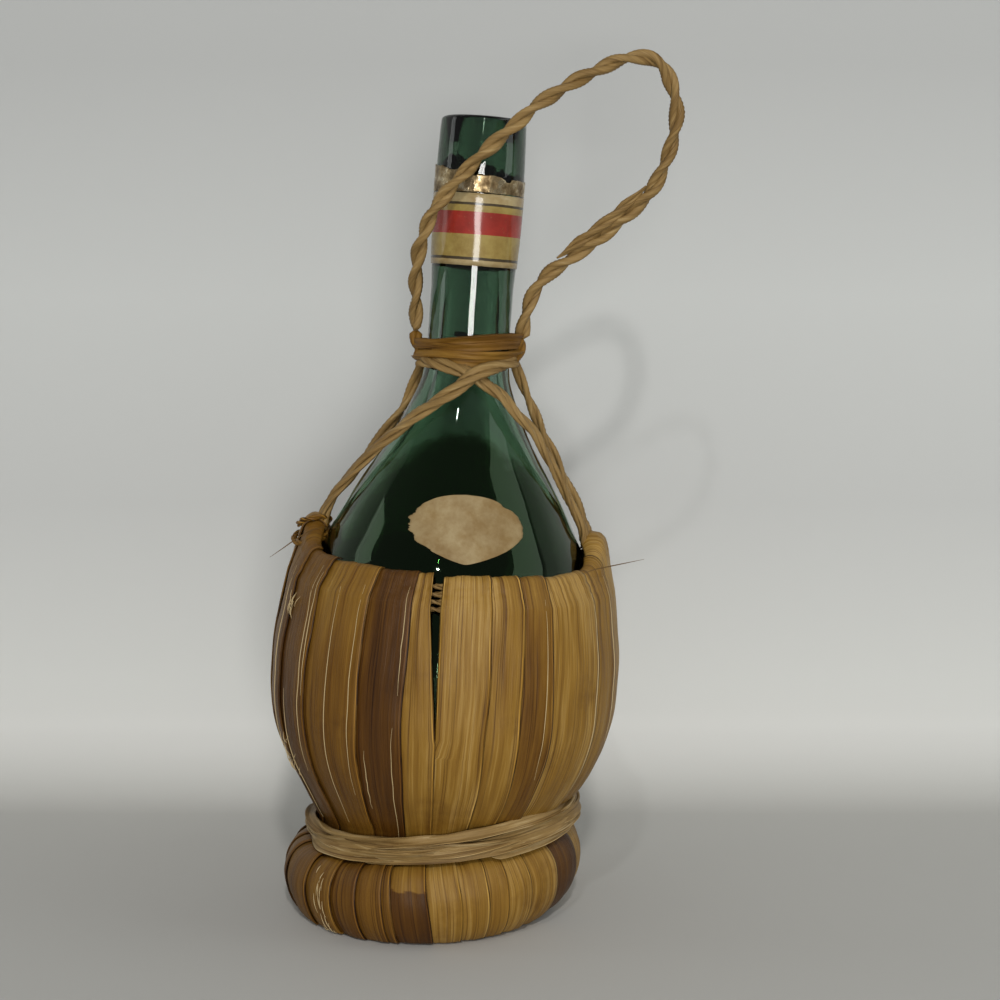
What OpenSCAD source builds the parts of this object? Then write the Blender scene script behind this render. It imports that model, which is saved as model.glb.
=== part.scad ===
// Straw-covered round wine flask: blown glass bottle, leaf basket on a wound
// rim hoop and a straw foot ring, raffia stays, neck lashing and a rope handle.
// The flask leans in its squashed basket; its own frame has the glass upright.

/* [Glass] */
// Height of the mouth above the floor, along the flask's own axis
glass_height = 284; // [276:1:290]
// Outer radius of the round belly
belly_r = 60.7; // [59:0.1:61.5]
// Height of the belly's lower centre
belly_low_z = 86; // [84:0.5:87]
// Height of the belly's upper centre
belly_high_z = 92; // [91:0.5:94]
// Slope of the shoulder from the upright
shoulder_slope = 32.3; // [31:0.1:34]
// Outer radius of the neck at its waist
neck_r = 14.6; // [14:0.1:15.2]
// Height where the shoulder's curve ends in the neck
neck_z = 207; // [205:0.5:210]
// Swell of the neck's finish below the lip
finish_swell = 1.1; // [0.6:0.1:1.4]
// Wall thickness of the belly
glass_wall = 3.2; // [2.4:0.1:4]
// Radius of the bore at the mouth
bore_r = 9.3; // [9:0.1:9.8]

/* [Basket] */
// Thickness of a folded leaf
leaf_t = 1; // [0.8:0.05:1.1]
// Step from one leaf up to the next
leaf_step = 1.25; // [1.2:0.05:1.35]
// Angle by which a leaf laps over its neighbour on the belly
leaf_lap = 2; // [1:0.25:2.25]
// Radius of the basket's waist
waist_leaf_r = 45.2; // [44.8:0.1:45.4]
// Radius of the straw strand in the rim hoop
hoop_strand_r = 1.05; // [0.9:0.05:1.05]
// Turns of the rim hoop
hoop_turns = 4; // [3:1:4]

/* [Foot] */
// Outer radius of the foot ring
foot_r = 54.8; // [54:0.1:56]
// Leaves wrapped round the foot ring
foot_leaf_count = 28; // [24:2:32]
// Tilt of the squashed foot ring and the waist
foot_tilt = 4.4; // [3:0.1:5]
// Turns of the waist binding
waist_turns = 3; // [2:1:3]

/* [Cords] */
// Radius of a stay cord
stay_r = 1.5; // [1.2:0.05:1.6]
// Radius of the rope handle
handle_r = 2.6; // [2.2:0.1:2.8]
// Turns of the neck lashing
lash_turns = 2; // [1:1:2]

/* [Stance] */
// Lean of the flask in its basket
lean = 4.2; // [0:0.1:5]

/* [Hidden] */
lean_z = 10;
neck_bow_r = 84.7;
base_flat_r = 16;
base_t = 5;
lip_r = 1.6;
belly_in_r = belly_r - glass_wall;
cone_z = belly_high_z + belly_r * sin(shoulder_slope);
cone_r = belly_r * cos(shoulder_slope);
bow_start_z = neck_z - neck_bow_r * sin(shoulder_slope);
swell_z = 225;
swell_span = 65;

// Azimuths, from the front towards the right, where one leaf ends and the next begins
LEAF_EDGES = [-67, -50, -28, -13, -2, 13, 24, 35, 57, 72, 90, 107, 124, 142, 158, 175,
              192, 208, 225, 241, 257, 275];
LEAF_COUNT = len(LEAF_EDGES);
function two(i) = i < 10 ? str("0", i) : str(i);
LEAVES = [for (i = [1:LEAF_COUNT]) str("body_leaf_", two(i))];

straw = "#c9a25f";
dark_straw = "#8a6233";
pale_raffia = "#d8c08a";
paper = "#d9c9a0";

// Points of an arc about (r, z), from angle a to angle b, in n steps
function arc(r, z, radius, a, b, n) =
    [for (k = [0:n]) let (t = a + (b - a) * k / n) [r + radius * cos(t), z + radius * sin(t)]];
function flip(list) = [for (k = [len(list) - 1:-1:0]) list[k]];
function unit(v) = v / norm(v);
// Azimuth from the front, radius and height, as a point
function polar(az, r, z) = [r * sin(az), -r * cos(az), z];

// Outer radius of the glass at a height, and its slope from the upright there
function glass_r(z) =
    z < belly_low_z ? sqrt(belly_r * belly_r - (belly_low_z - z) * (belly_low_z - z)) :
    z < belly_high_z ? belly_r :
    z < cone_z ? sqrt(belly_r * belly_r - (z - belly_high_z) * (z - belly_high_z)) :
    z < bow_start_z ? cone_r - tan(shoulder_slope) * (z - cone_z) :
    z < neck_z ? neck_r + neck_bow_r - sqrt(neck_bow_r * neck_bow_r - (neck_z - z) * (neck_z - z)) :
    z < swell_z ? neck_r :
    neck_r + finish_swell * sin(180 * (z - swell_z) / swell_span);
function glass_slope(z) = z < cone_z ? asin((z - belly_high_z) / belly_r) : shoulder_slope;

// Places a shape of the flask's own frame in the leaning flask
module leaning() {
    translate([0, 0, lean_z]) rotate([0, lean, 0]) translate([0, 0, -lean_z]) children();
}

// Glass

glass_out = concat(
    [[0, belly_low_z - sqrt(belly_r * belly_r - base_flat_r * base_flat_r)]],
    arc(0, belly_low_z, belly_r, asin(base_flat_r / belly_r) - 90, 0, 16),
    arc(0, belly_high_z, belly_r, 0, shoulder_slope, 7),
    [for (k = [0:11]) let (z = bow_start_z + (neck_z - bow_start_z) * k / 11) [glass_r(z), z]],
    [for (z = [swell_z:6.5:glass_height - lip_r]) [glass_r(z), z]],
    arc(glass_r(glass_height - lip_r) - lip_r, glass_height - lip_r, lip_r, 20, 90, 4));
throat_z = bow_start_z + 26;
glass_in = concat(
    [[0, belly_low_z - belly_in_r + base_t - glass_wall]],
    arc(0, belly_low_z, belly_in_r, -72, 0, 14),
    arc(0, belly_high_z, belly_in_r, 0, shoulder_slope, 7),
    [for (k = [0:5])
        let (z = bow_start_z + (throat_z - bow_start_z) * k / 5)
        [max(bore_r, glass_r(z) - glass_wall * (1 + 0.35 * k / 5)), z]],
    [[bore_r, neck_z - 3], [bore_r, neck_z + 20], [0, neck_z + 20]]);

module glass_bottle() {
    color("#2f4a3f")
    leaning() difference() {
        rotate_extrude($fn = 96) polygon(concat(glass_out, [[0, glass_height]]));
        rotate_extrude($fn = 96) polygon(glass_in);
        translate([0, 0, neck_z]) cylinder(r = bore_r, h = glass_height - neck_z + 1, $fn = 64);
    }
}

// Paper and foil on the glass

label_t = 0.3;
label_gap = 0.06;
neck_label_z = [232.6, 257.4];
foil_z = [257.7, 267.5];
foil_notches = 17;

// A closed skin on the glass between two heights
module glass_skin(z0, z1, gap, t, steps) {
    heights = [for (k = [0:steps]) z0 + (z1 - z0) * k / steps];
    rotate_extrude($fn = 96) polygon(concat(
        [for (z = heights) [glass_r(z) + gap, z]],
        flip([for (z = heights) [glass_r(z) + gap + t, z]])));
}
module neck_label() {
    color(paper) leaning() glass_skin(neck_label_z[0], neck_label_z[1], label_gap, label_t, 6);
}
// The torn top edge of the capsule is a row of uneven notches
module neck_foil() {
    color("goldenrod") leaning() difference() {
        glass_skin(foil_z[0], foil_z[1], label_gap, 0.35, 3);
        for (k = [0:foil_notches - 1])
            rotate([0, 0, 360 * (k + 0.3 * sin(k * 140)) / foil_notches])
                translate([neck_r, 0, foil_z[1] - 3 - 1.5 * sin(k * 97)])
                    rotate([90, 0, 90]) linear_extrude(5, center = true)
                        polygon([[0, 0], [3 + sin(k * 61), 9], [-2.6, 9]]);
    }
}
shoulder_label_az = 6;
label_half_w = 20;
label_top_z = 155;
label_side_z = 143;
label_foot_z = 132.8;
// Oval top, pointed foot and a nick torn out of the upper right
module shoulder_label() {
    top = [for (t = [0:20:180]) [label_half_w * cos(t),
                                 label_side_z + (label_top_z - label_side_z) * sin(t)]];
    left = [for (t = [15:15:75]) [-label_half_w * pow(cos(t), 1.3),
                                 label_side_z - (label_side_z - label_foot_z) * sin(t)]];
    right = [for (p = flip(left)) [-p[0], p[1]]];
    color(paper) leaning() rotate([0, 0, shoulder_label_az]) intersection() {
        glass_skin(label_foot_z - 3, label_top_z + 3, label_gap, label_t, 8);
        rotate([90, 0, 0]) linear_extrude(80) difference() {
            polygon(concat(top, left, [[0, label_foot_z]], right));
            translate([12, label_top_z - 1]) circle(r = 3, $fn = 24);
        }
    }
}

// Wound tubes: one unbroken strand with six sides and 24 rings a turn

SIDES = 6;
RINGS = 24;
// Rings of a winding from a list of [azimuth, radius, height], with half widths a and b
function wound_rings(path, a, b) = [for (p = path) [for (s = [0:SIDES - 1])
    let (t = 360 * (s + 0.5) / SIDES) polar(p[0], p[1] + a * cos(t), p[2] + b * sin(t))]];
// Least distance between the points of one turn and those of the next
function least_gap(rings) = min([for (k = [0:len(rings) - 1 - RINGS])
    min([for (p = rings[k]) min([for (q = rings[k + RINGS]) norm(p - q)])])]);
// Triangles over rings of n points, closed at both ends
function tube_faces(rings, n) = concat(
    [for (s = [1:n - 2]) [0, s + 1, s]],
    [for (k = [0:rings - 2], s = [0:n - 1]) let (i = k * n + s, j = k * n + (s + 1) % n)
        [i, j + n, i + n]],
    [for (k = [0:rings - 2], s = [0:n - 1]) let (i = k * n + s, j = k * n + (s + 1) % n)
        [i, j, j + n]],
    [for (s = [1:n - 2]) let (o = (rings - 1) * n) [o, o + s, o + s + 1]]);
module tube(rings) {
    n = len(rings[0]);
    polyhedron(points = [for (ring = rings) each ring], faces = tube_faces(len(rings), n));
}

// Rim hoop of straw, wound up the glass just under the leaves' fold

hoop_low_z = 117;
hoop_high_z = 126.1;
hoop_lift = hoop_strand_r + 0.6;
function hoop_at(z) = [glass_r(z) + hoop_lift * cos(glass_slope(z)),
                       z + hoop_lift * sin(glass_slope(z))];
hoop_path = [for (k = [0:hoop_turns * RINGS])
    let (c = hoop_at(hoop_low_z + (hoop_high_z - hoop_low_z) * k / (hoop_turns * RINGS)))
    [180 + 360 * k / RINGS, c[0], c[1]]];
hoop_rings = wound_rings(hoop_path, hoop_strand_r, hoop_strand_r);
module rim_hoop() {
    color(straw) leaning() tube(hoop_rings);
}

// Leaves of the basket, each laid half a step under one neighbour and over the other

leaf_turn_r = 57;
leaf_rise = 0.7 * leaf_step;
leaf_mid_r = belly_r + leaf_t / 2 + leaf_rise + 0.1;
leaf_low_z = 83;
pinch_half = 5.6;
flare_rise = 6;
lift_z = 104;
lift_angle = asin((lift_z - belly_high_z) / leaf_mid_r);
hoop_top = hoop_at(hoop_high_z);
fold_r = hoop_strand_r + 0.1 + leaf_rise + leaf_t / 2;
notch_z = hoop_top[1] + 0.9;
hip = hoop_at(hoop_low_z + 1.5) + (fold_r + 0.1) * [cos(25), sin(25)];
lap_low_z = 62;
leaf_butt = 0.2;
waist_z = 34;
waist_shift = 3;
waist_x = waist_shift + (waist_z - lean_z) * sin(lean);
// Point of the tilted waist on the flask at an azimuth, as radius and height
function pinch_at(az) = [waist_leaf_r + waist_shift * sin(az),
                         waist_z + waist_leaf_r * tan(lean + foot_tilt) * sin(az)];
// Angle on the belly's lower arc where the flare from the waist meets it
function flare_angle(p) = max(-asin((leaf_low_z - p[1] - flare_rise) / leaf_mid_r),
    atan2(p[1] - leaf_low_z, p[0]) + acos(min(1, leaf_mid_r / norm(p - [0, leaf_low_z]))));
// Run of a leaf at a distance from its middle, from the waist up to the fold
function leaf_side(d, pinch) = concat(
    [pinch + [d, -14], pinch + [d, pinch_half]],
    arc(0, leaf_low_z, leaf_mid_r + d, flare_angle(pinch + [0, pinch_half]), 0, 6),
    arc(0, belly_high_z, leaf_mid_r + d, 0, lift_angle, 3),
    [hip + d * [cos(22), sin(22)]],
    arc(hoop_top[0], hoop_top[1], fold_r + d, 32, 118, 5));
function leaf_section(pinch) = concat(leaf_side(leaf_t / 2, pinch), flip(leaf_side(-leaf_t / 2, pinch)));

binding_r = 1.3;
binding_pitch = 3.05;
binding_mid_r = 48.7;
leaf_end_z = -3.6;
// Places a shape about the waist's own centre, tilted as the foot is
module at_waist() {
    translate([waist_x, 0, waist_z]) rotate([0, -foot_tilt, 0]) children();
}

slit_az = -2;
slit_foot_z = 76;
slit_top_z = 119;
slit_w = 3.4;
// Slit left open between two front leaves, narrowing to a point
module slit() {
    rotate([0, 0, slit_az]) rotate([90, 0, 0]) linear_extrude(80)
        polygon([[1.5, slit_foot_z], [0.1, slit_top_z], [0.2, 140],
                 [0.2 - slit_w, 140], [0.1 - slit_w, slit_top_z]]);
}

module body_leaf(i) {
    from = LEAF_EDGES[i];
    to = i < LEAF_COUNT - 1 ? LEAF_EDGES[i + 1] : LEAF_EDGES[0] + 360;
    pitch = to - from;
    half = pitch / 2;
    turn = asin(leaf_step / (leaf_turn_r * pitch * PI / 180));
    color(i % 4 == 2 ? dark_straw : straw) difference() {
        leaning() difference() {
            rotate([0, 0, (from + to) / 2 - 90]) difference() {
                translate([leaf_turn_r, 0, 0]) rotate([0, 0, -turn]) translate([-leaf_turn_r, 0, 0])
                    rotate([0, 0, -half - leaf_lap])
                        rotate_extrude(angle = pitch + 2 * leaf_lap, $fn = 96)
                            polygon(leaf_section(pinch_at((from + to) / 2)));
                for (side = [-1, 1], band = [[0, lap_low_z], [notch_z, 140]])
                    rotate([0, 0, side * (half - leaf_butt)])
                        translate([30, side < 0 ? -9 : 0, band[0]])
                            cube([40, 9, band[1] - band[0]]);
            }
            if (from == slit_az || to == slit_az) slit();
        }
        at_waist() translate([0, 0, leaf_end_z - 30]) cylinder(r = 80, h = 30, $fn = 64);
    }
}

// Waist binding, wound three times round the ends of the leaves

waist_path = [for (k = [0:waist_turns * RINGS])
    [200 + 360 * k / RINGS, binding_mid_r, binding_pitch * (k / RINGS - waist_turns / 2)]];
waist_rings = wound_rings(waist_path, binding_r, binding_r);
module waist_binding() {
    color(pale_raffia) at_waist() tube(waist_rings);
}

// Foot: a straw ring wrapped in narrow leaves, squashed flat on the floor

foot_x = 0.6;
foot_z = 16;
foot_mid_r = 44.4;
foot_low_r = 37;
foot_top = 13;
foot_low = 20;
wrap_t = 0.9;
wrap_step = 1.05;
wrap_gap = 0.4;
core_neck_r = 43;
core_neck_z = 43;
core_in_r = 33;
core_sole = 2;
module at_foot() {
    translate([foot_x, 0, foot_z]) rotate([0, -foot_tilt, 0]) children();
}
module above_floor() {
    intersection() {
        children();
        translate([-100, -100, 0]) cube([200, 200, 100]);
    }
}
// Ellipses that meet at the ring's widest, at a distance inside the outermost wrap;
// the lower one is wider, so the wraps run in under the ring towards the floor
function ring_side(d, a, b, n) = [for (k = [0:n])
    let (t = a + (b - a) * k / n, mid = t < 0 ? foot_low_r : foot_mid_r)
    [mid + (foot_r - mid - d) * cos(t), ((t < 0 ? foot_low : foot_top) - d) * sin(t)]];
wrap_out = wrap_step / 2;
wrap_from = 62;
wrap_to = -95;
wrap_section = concat(ring_side(wrap_out, wrap_from, wrap_to, 14),
                      flip(ring_side(wrap_out + wrap_t, wrap_from, wrap_to, 14)));

module foot_leaf(k) {
    pitch = 360 / foot_leaf_count;
    turn = asin(wrap_step / (foot_r * pitch * PI / 180));
    rotate([0, 0, (k + 0.5) * pitch - 90])
        translate([foot_r, 0, 0]) rotate([0, 0, -turn]) translate([-foot_r, 0, 0])
            rotate([0, 0, (wrap_gap - pitch) / 2])
                rotate_extrude(angle = pitch - wrap_gap, $fn = 96) polygon(wrap_section);
}
module foot_leaves_right() {
    color(straw) above_floor() at_foot()
        for (k = [0:foot_leaf_count / 2 - 1]) foot_leaf(k);
}
module foot_leaves_left() {
    color(dark_straw) above_floor() at_foot()
        for (k = [foot_leaf_count / 2:foot_leaf_count - 1]) foot_leaf(k);
}
// Straw ring under the wraps, flat on the floor, with the neck that seats the glass
module foot_core() {
    inside = wrap_out + wrap_t + wrap_step / 2 + 0.1;
    color(dark_straw) difference() {
        union() {
            above_floor() at_foot() rotate_extrude($fn = 96) {
                intersection() {
                    polygon(ring_side(inside, 180, -180, 32));
                    translate([core_in_r, -40]) square([40, 80]);
                }
                translate([core_in_r, -foot_low - 2]) square([core_sole, foot_low]);
            }
            leaning() translate([waist_shift, 0, foot_z + 4]) difference() {
                cylinder(r = core_neck_r, h = core_neck_z - foot_z - 4, $fn = 96);
                translate([-waist_shift, 0, -1]) cylinder(r = core_in_r, h = core_neck_z, $fn = 96);
            }
        }
        leaning() translate([0, 0, belly_low_z]) sphere(r = belly_r + 0.05, $fn = 96);
    }
}

// Ears, stays and lashing

ear_r = 5;
ear_leg = 7;
ear_cord_r = 2;
ear_z = 128.5;
bundle_r = 7.6;
bundle_half_t = 3.4;
bundle_foot = 0.9;
bundle_h = 6.4;
// Bundle of leaf ends gathered up from the fold, and its loop that takes two stays
module ear(side) {
    leaning() translate([side * (glass_r(ear_z) + 5.9), 0, ear_z])
        rotate([0, -side * shoulder_slope, 0]) {
            translate([0, 0, bundle_foot]) scale([bundle_half_t / bundle_r, 1, 1])
                cylinder(r1 = bundle_r, r2 = ear_r + ear_cord_r - 0.3,
                         h = bundle_h - bundle_foot, $fn = 48);
            for (leg = [-1, 1]) translate([0, leg * ear_r, bundle_h / 2])
                cylinder(r = ear_cord_r, h = ear_leg - bundle_h / 2, $fn = 24);
            translate([0, 0, ear_leg]) rotate([90, 0, 90])
                rotate_extrude(angle = 180, $fn = 48)
                    translate([ear_r, 0]) circle(r = ear_cord_r, $fn = 24);
        }
}
module ear_left() { color(dark_straw) ear(-1); }
module ear_right() { color(dark_straw) ear(1); }

// Routes of the stays in the flask's own frame, from an ear up to the lashing
LEFT_FRONT = [[-49, -1.7, 139], [-47, -2.5, 143], [-43.5, -4, 150], [-37, -8, 159],
              [-29.5, -11, 167], [-21.5, -13, 174], [-14, -16.5, 181], [-6, -20, 187.5],
              [0, -20.8, 192.5], [5.5, -19.4, 196.5], [10, -14.8, 198.5], [14, -9.3, 199.5],
              [16.3, -4.5, 200.8]];
RIGHT_FRONT = [[49, -1.7, 139], [46.5, -2.5, 143], [42, -4, 150], [37.5, -7, 159], [32, -10, 169],
               [26, -12.5, 177], [19.5, -14.5, 183.5], [13, -14.5, 189.3], [6.5, -16.7, 193],
               [0, -17.3, 196], [-7, -15.7, 197.6], [-13, -11, 198.3], [-16, -6, 198.6]];
LEFT_OUTER = [[-49, 1.7, 139], [-45.5, 4, 145], [-39.5, 6, 154], [-33, 8, 163], [-27.5, 9.5, 171],
              [-21.5, 10.5, 180], [-15.5, 12, 188], [-9, 15, 194], [-4, 16.5, 199], [-3, 16.6, 201.5]];
RIGHT_OUTER = [[49, 1.7, 139], [46, 4, 145], [39.5, 6, 156], [33, 8, 167], [28, 9.5, 175],
               [23.5, 10.5, 183], [17.5, 12, 190], [10, 14.5, 195], [5, 16.2, 199.5], [4, 16.4, 202]];

// Rings of n points about a route; the first and last end square
function route_rings(route, radii, n, reference) = [for (k = [0:len(route) - 1])
    let (a = route[max(k - 1, 0)], b = route[min(k + 1, len(route) - 1)],
         along = unit(b - a),
         across = unit(cross(along, reference == undef ? [route[k][0], route[k][1], 0] : reference)),
         up = cross(across, along))
    [for (s = [0:n - 1]) let (t = 360 * s / n)
        route[k] + radii[k] * (cos(t) * across + sin(t) * up)]];
module stay(route) {
    color(pale_raffia) leaning()
        tube(route_rings(route, [for (p = route) stay_r], 8, undef));
}
module stay_left_front() { stay(LEFT_FRONT); }
module stay_left_outer() { stay(LEFT_OUTER); }
module stay_right_front() { stay(RIGHT_FRONT); }
module stay_right_outer() { stay(RIGHT_OUTER); }

lash_half_t = 1.1;
lash_half_w = 2.35;
lash_pitch = 5.2;
lash_low_z = 201.6;
lash_path = [for (k = [0:lash_turns * RINGS])
    [210 + 360 * k / RINGS, neck_r + 0.3 + lash_half_t, lash_low_z + lash_pitch * k / RINGS]];
lash_rings = wound_rings(lash_path, lash_half_t, lash_half_w);
module neck_lashing() {
    color(pale_raffia) leaning() tube(lash_rings);
}

// Rope handle: a tall loop whose two roots bend at the lashing

handle_z = 208;
HANDLE = [[-19, 0, 208], [-19.2, -1, 213], [-19.6, -4, 220], [-20, -8, 228], [-19.3, -13, 236],
          [-17.5, -17, 243], [-15, -19.5, 250], [-11, -20.8, 256], [-6.5, -21.5, 262],
          [-1.5, -21.5, 268], [3.5, -21.5, 273.5], [9, -21, 279], [14.5, -21, 284.5],
          [20.5, -20, 290], [27, -19, 295], [34, -18, 299.5], [41, -17, 303.5], [48, -16, 306.5],
          [55, -15, 307], [60.5, -14, 304], [64, -13, 298], [66, -12, 291], [66, -11, 284],
          [65, -10, 277], [63, -9, 270], [60, -8, 263], [55, -7, 257], [49.5, -6, 251],
          [43, -5, 245], [36, -4, 239.5], [30, -3, 235], [25.5, -2.5, 230.5], [22, -2, 225],
          [20, -1, 218], [19.2, -0.5, 213], [19, 0, 208]];
function root_taper(k, count) = min(1, 0.6 + 0.2 * min(k, count - 1 - k));
handle_radii = [for (k = [0:len(HANDLE) - 1]) handle_r * root_taper(k, len(HANDLE))];
module handle_rope() {
    color(pale_raffia) leaning() tube(route_rings(HANDLE, handle_radii, 8, [0, 1, 0]));
}
// Doubled end of the rope, laid along the inside of the loop's lower run
SPLICE = [[56.5, -7.5, 266.5], [52, -6.7, 261], [46.5, -5.8, 255], [40, -4.8, 249],
          [33.5, -3.8, 243.5], [28, -3, 238.5]];
splice_r = 1.9;
module handle_splice() {
    radii = [for (k = [0:len(SPLICE) - 1]) splice_r * root_taper(k, len(SPLICE))];
    color(pale_raffia) leaning() tube(route_rings(SPLICE, radii, 8, [0, 1, 0]));
}

echo(least_gap_mm = [["rim_hoop", least_gap(hoop_rings)], ["waist_binding", least_gap(waist_rings)],
                     ["neck_lashing", least_gap(lash_rings)]]);

glass_bottle();
neck_foil();
neck_label();
shoulder_label();
rim_hoop();
waist_binding();
foot_core();
foot_leaves_left();
foot_leaves_right();
ear_left();
ear_right();
stay_left_front();
stay_left_outer();
stay_right_front();
stay_right_outer();
neck_lashing();
handle_rope();
handle_splice();
for (i = [0:LEAF_COUNT - 1])
    body_leaf(i);
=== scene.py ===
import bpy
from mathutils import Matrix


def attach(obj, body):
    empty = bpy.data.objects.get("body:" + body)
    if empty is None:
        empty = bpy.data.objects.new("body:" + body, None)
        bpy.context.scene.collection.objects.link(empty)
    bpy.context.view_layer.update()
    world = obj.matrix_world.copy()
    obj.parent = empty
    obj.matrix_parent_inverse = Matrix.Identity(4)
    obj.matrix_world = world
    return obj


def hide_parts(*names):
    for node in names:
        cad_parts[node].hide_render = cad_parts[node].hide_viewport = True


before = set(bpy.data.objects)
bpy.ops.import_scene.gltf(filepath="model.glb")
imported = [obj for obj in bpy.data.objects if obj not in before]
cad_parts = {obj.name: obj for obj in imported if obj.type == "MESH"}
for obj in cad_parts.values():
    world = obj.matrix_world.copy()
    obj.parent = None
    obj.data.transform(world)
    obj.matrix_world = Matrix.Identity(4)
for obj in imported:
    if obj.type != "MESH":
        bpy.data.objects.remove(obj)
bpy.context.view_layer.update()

from math import acos, asin, atan2, cos, degrees, exp, pi, radians, sin, sqrt, tan

import bmesh
import bpy
from mathutils import Vector, noise

# Table, wall and window
# The flask stands on a pale sheet that runs over the table and up the wall behind it, with
# light and shade painted on it by height, and is clear when looked at from behind. A window is
# behind the camera.
scene = bpy.context.scene
scene.view_settings.view_transform = "Standard"
lens = bpy.data.cameras.new("camera")
lens.sensor_width = 36
lens.lens = 62.03
camera = bpy.data.objects.new("camera", lens)
camera.location = (0.0256, -0.617, 0.2242)
camera.rotation_euler = (radians(83), 0, 0)
scene.collection.objects.link(camera)
scene.camera = camera


def lamp(name, place, aim, width, height, watts, colour):
    """A rectangular lamp at a place, turned towards its aim"""
    light = bpy.data.lights.new(name, "AREA")
    light.shape = "RECTANGLE"
    light.size, light.size_y = width, height
    light.energy, light.color = watts, colour
    holder = bpy.data.objects.new(name, light)
    holder.location = place
    holder.rotation_euler = (Vector(aim) - Vector(place)).to_track_quat("-Z", "Y").to_euler()
    scene.collection.objects.link(holder)


lamp("window", (0.14, -1.75, 0.22), (0.01, 0, 0.2), 0.46, 0.52, 14, (1, 0.985, 0.95))
lamp("ceiling", (0.1, -1.33, 1.12), (0, 0, 0.12), 0.09, 0.09, 7.5, (1, 0.98, 0.95))
lamp("right_wall", (1.1, -0.22, 0.85), (0, 0, 0.15), 0.6, 1.3, 2.7, (0.95, 1, 0.97))
lamp("skylight", (-0.2, -1.36, 1.5), (0, 0, 0.12), 0.05, 0.05, 2.6, (1, 1, 1))
lamp("left_wall", (-1.25, -0.02, 0.6), (0, 0, 0.15), 0.35, 0.8, 1.2, (0.95, 1, 0.97))
world = bpy.data.worlds.new("room")
world.use_nodes = True
world.node_tree.nodes["Background"].inputs["Color"].default_value = (0.5, 0.505, 0.5, 1)
world.node_tree.nodes["Background"].inputs["Strength"].default_value = 0.36
scene.world = world


def new_finish(name):
    """A new material and its tree, holding only a shader and the output"""
    material = bpy.data.materials.new(name)
    material.use_nodes = True
    return material, material.node_tree


def wire(tree, node, sockets):
    """Gives a node's input sockets plain values or other nodes' outputs"""
    for key, value in sockets.items():
        if isinstance(value, bpy.types.NodeSocket):
            tree.links.new(value, node.inputs[key])
        else:
            node.inputs[key].default_value = value


def add(tree, kind, sockets=None, **settings):
    """A new shader node with its sockets wired and its settings"""
    node = tree.nodes.new("ShaderNode" + kind)
    for key, value in settings.items():
        setattr(node, key, value)
    wire(tree, node, sockets or {})
    return node


def worked_out(tree, operation, *terms):
    """A number made from others, which are plain values or nodes' outputs"""
    return add(tree, "Math", dict(enumerate(terms)), operation=operation).outputs[0]


def surface(tree, sockets):
    """Wires the main shader's own sockets and returns it"""
    shader = tree.nodes["Principled BSDF"]
    wire(tree, shader, sockets)
    return shader


def ramp(tree, share, stops, interpolation="LINEAR"):
    """The colour at a share of the way through a list of (place, colour)"""
    node = add(tree, "ValToRGB", {"Fac": share})
    band = node.color_ramp
    band.interpolation = interpolation
    while len(band.elements) < len(stops):
        band.elements.new(0.5)
    for element, (place, colour) in zip(band.elements, stops):
        element.position = place
        element.color = (*colour, 1)
    return node.outputs["Color"]


def lay_grid(bm, rows, columns, place, lay=(1, 1), closed=False):
    """Adds a grid of faces to bm and puts each point where place(u, v) says, with u and v
    from 0 to 1. One UV map holds u and v times lay, the other how far each point is from
    the two long edges. The two meet where closed says that the grid goes all the way round."""
    points = bmesh.ops.create_grid(bm, x_segments=rows, y_segments=columns, size=0.5)["verts"]
    spots = {point: (point.co.x + 0.5, point.co.y + 0.5) for point in points}
    layer = bm.loops.layers.uv.verify()
    sides = bm.loops.layers.uv.get("edges") or bm.loops.layers.uv.new("edges")
    for face in {face for point in points for face in point.link_faces}:
        face.smooth = True
        for loop in face.loops:
            u, v = spots[loop.vert]
            loop[layer].uv = (u * lay[0], v * lay[1])
            loop[sides].uv = (v * lay[1], (1 - v) * lay[1])
    for point, (u, v) in spots.items():
        point.co = place(u, v)
    if closed:
        bmesh.ops.remove_doubles(bm, verts=points, dist=1e-7)
        return [point for point in points if point.is_valid]
    return points


def finish_piece(bm, name, material, outwards=True):
    """Turns bm into an object at the origin; outwards says that its faces may be turned"""
    if outwards:
        bmesh.ops.recalc_face_normals(bm, faces=bm.faces)
    mesh = bpy.data.meshes.new(name)
    bm.to_mesh(mesh)
    bm.free()
    mesh.materials.append(material)
    piece = bpy.data.objects.new(name, mesh)
    scene.collection.objects.link(piece)
    return piece


sheet_length, sheet_width, sheet_front, sheet_corner, wall_y = 2.9, 4.2, 1.3, 0.03, 0.138


def sheet_point(u, v):
    """Along the table, round the corner and up the wall"""
    run = u * sheet_length
    x = (v - 0.5) * sheet_width
    flat = wall_y - sheet_corner + sheet_front
    bend = sheet_corner * pi / 2
    if run < flat:
        return Vector((x, run - sheet_front, 0))
    if run < flat + bend:
        turn = (run - flat) / sheet_corner
        return Vector((x, wall_y - sheet_corner * (1 - sin(turn)), sheet_corner * (1 - cos(turn))))
    return Vector((x, wall_y, sheet_corner + run - flat - bend))


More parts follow.
